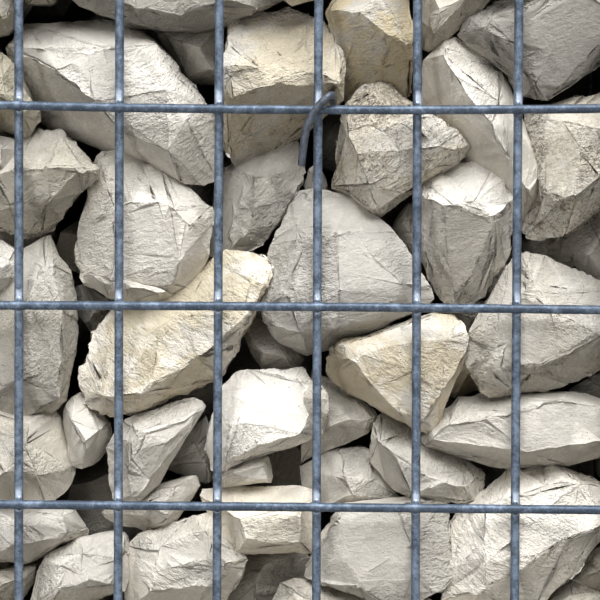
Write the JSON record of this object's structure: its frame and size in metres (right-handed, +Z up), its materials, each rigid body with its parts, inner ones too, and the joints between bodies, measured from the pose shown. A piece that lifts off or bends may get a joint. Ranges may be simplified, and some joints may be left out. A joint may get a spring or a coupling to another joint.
{
  "type": "gabion wall",
  "caption": "Free-standing gabion wall: square welded mesh baskets in two courses, filled with broken limestone, with hooked spacer ties from face to face",
  "frame": {"origin": "on the ground under the middle of the wall", "axes": "X along the wall, Y from the front face to the back face, Z up"},
  "size_m": [1.0184, 0.322, 1.0372],
  "materials": {
    "mesh_wire": "galvanised, weathered",
    "tie_wire": "galvanised, dull",
    "stone": "broken limestone, rough"
  },
  "bodies": {
    "root": {"front_mesh_lower_left": "mesh_wire", "front_mesh_lower_right": "mesh_wire", "front_mesh_upper_left": "mesh_wire", "front_mesh_upper_right": "mesh_wire", "back_mesh_lower_left": "mesh_wire", "back_mesh_lower_right": "mesh_wire", "back_mesh_upper_left": "mesh_wire", "back_mesh_upper_right": "mesh_wire", "end_mesh_lower_left": "mesh_wire", "end_mesh_lower_right": "mesh_wire", "end_mesh_upper_left": "mesh_wire", "end_mesh_upper_right": "mesh_wire", "partition_mesh_lower": "mesh_wire", "partition_mesh_upper": "mesh_wire", "base_mesh_left": "mesh_wire", "floor_mesh_upper_left": "mesh_wire", "lid_mesh_left": "mesh_wire", "base_mesh_right": "mesh_wire", "floor_mesh_upper_right": "mesh_wire", "lid_mesh_right": "mesh_wire", "stone_fill_lower_left": "stone", "stone_fill_lower_right": "stone", "stone_fill_upper_left": "stone", "stone_fill_upper_right": "stone", "spacer_tie_lower_left_1": "tie_wire", "spacer_tie_lower_left_2": "tie_wire", "spacer_tie_lower_right_1": "tie_wire", "spacer_tie_lower_right_2": "tie_wire", "spacer_tie_upper_left_1": "tie_wire", "spacer_tie_upper_left_2": "tie_wire", "spacer_tie_upper_right_1": "tie_wire", "spacer_tie_upper_right_2": "tie_wire"}
  },
  "joints": []
}
